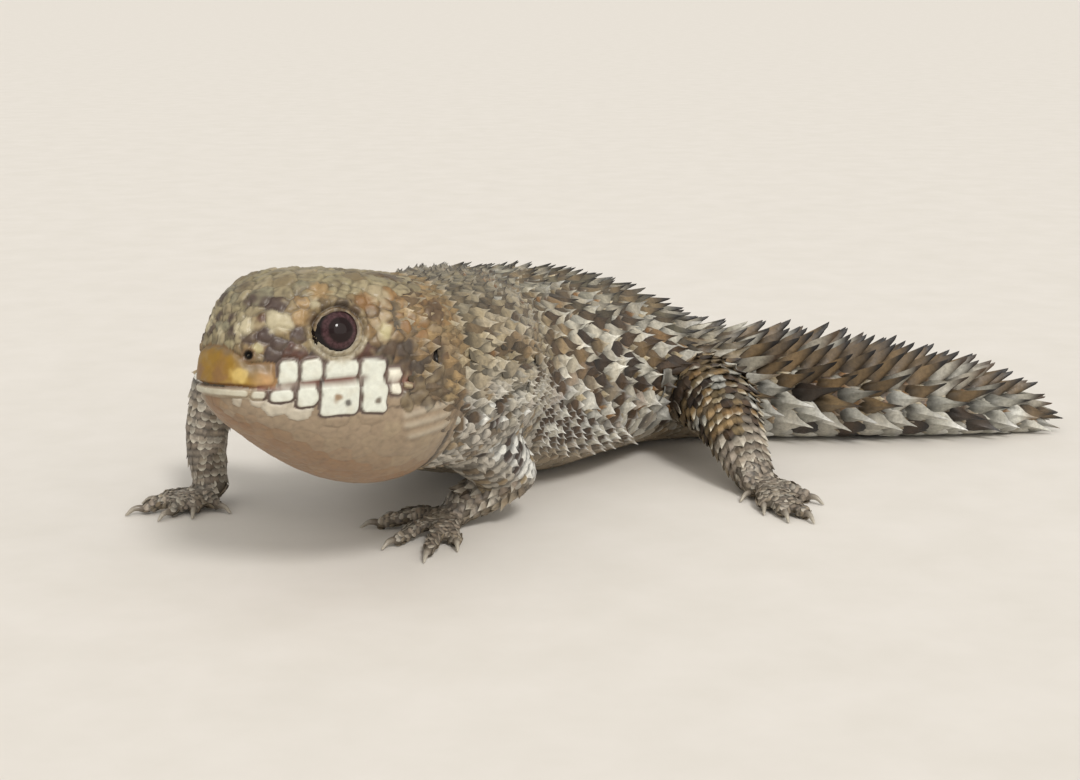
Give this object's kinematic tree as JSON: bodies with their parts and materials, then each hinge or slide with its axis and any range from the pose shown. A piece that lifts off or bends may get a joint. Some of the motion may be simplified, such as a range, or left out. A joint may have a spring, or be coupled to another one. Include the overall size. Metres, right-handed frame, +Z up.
{
  "type": "pygmy spiny-tailed skink model",
  "caption": "Small stout lizard at rest, trunk curved, head raised, covered in keeled spiny scales, with a flat spiny tail and clawed feet; a still museum-like model.",
  "frame": {"origin": "on the floor under the belly, at the middle of the flat that the belly rests on", "axes": "+Z up from the floor; the tail points along +X; the head points towards -X and -Y, and the left flank faces -Y"},
  "size_m": [0.1058, 0.1002, 0.03],
  "materials": {
    "scaly_hide": "dry keeled scales, mottled cream, tan and dark brown",
    "eye": "wet gloss, dark reddish-brown iris and black pupil"
  },
  "bodies": {
    "root": {"head": "scaly_hide", "neck": "scaly_hide", "torso_front": "scaly_hide", "torso_rear": "scaly_hide", "tail_base": "scaly_hide", "tail_tip": "scaly_hide", "eye_left": "eye", "eye_right": "eye", "fore_left_upper": "scaly_hide", "fore_left_lower": "scaly_hide", "fore_left_foot": "scaly_hide", "fore_right_upper": "scaly_hide", "fore_right_lower": "scaly_hide", "fore_right_foot": "scaly_hide", "hind_left_upper": "scaly_hide", "hind_left_lower": "scaly_hide", "hind_left_foot": "scaly_hide", "hind_right_upper": "scaly_hide", "hind_right_lower": "scaly_hide", "hind_right_foot": "scaly_hide"}
  },
  "joints": []
}
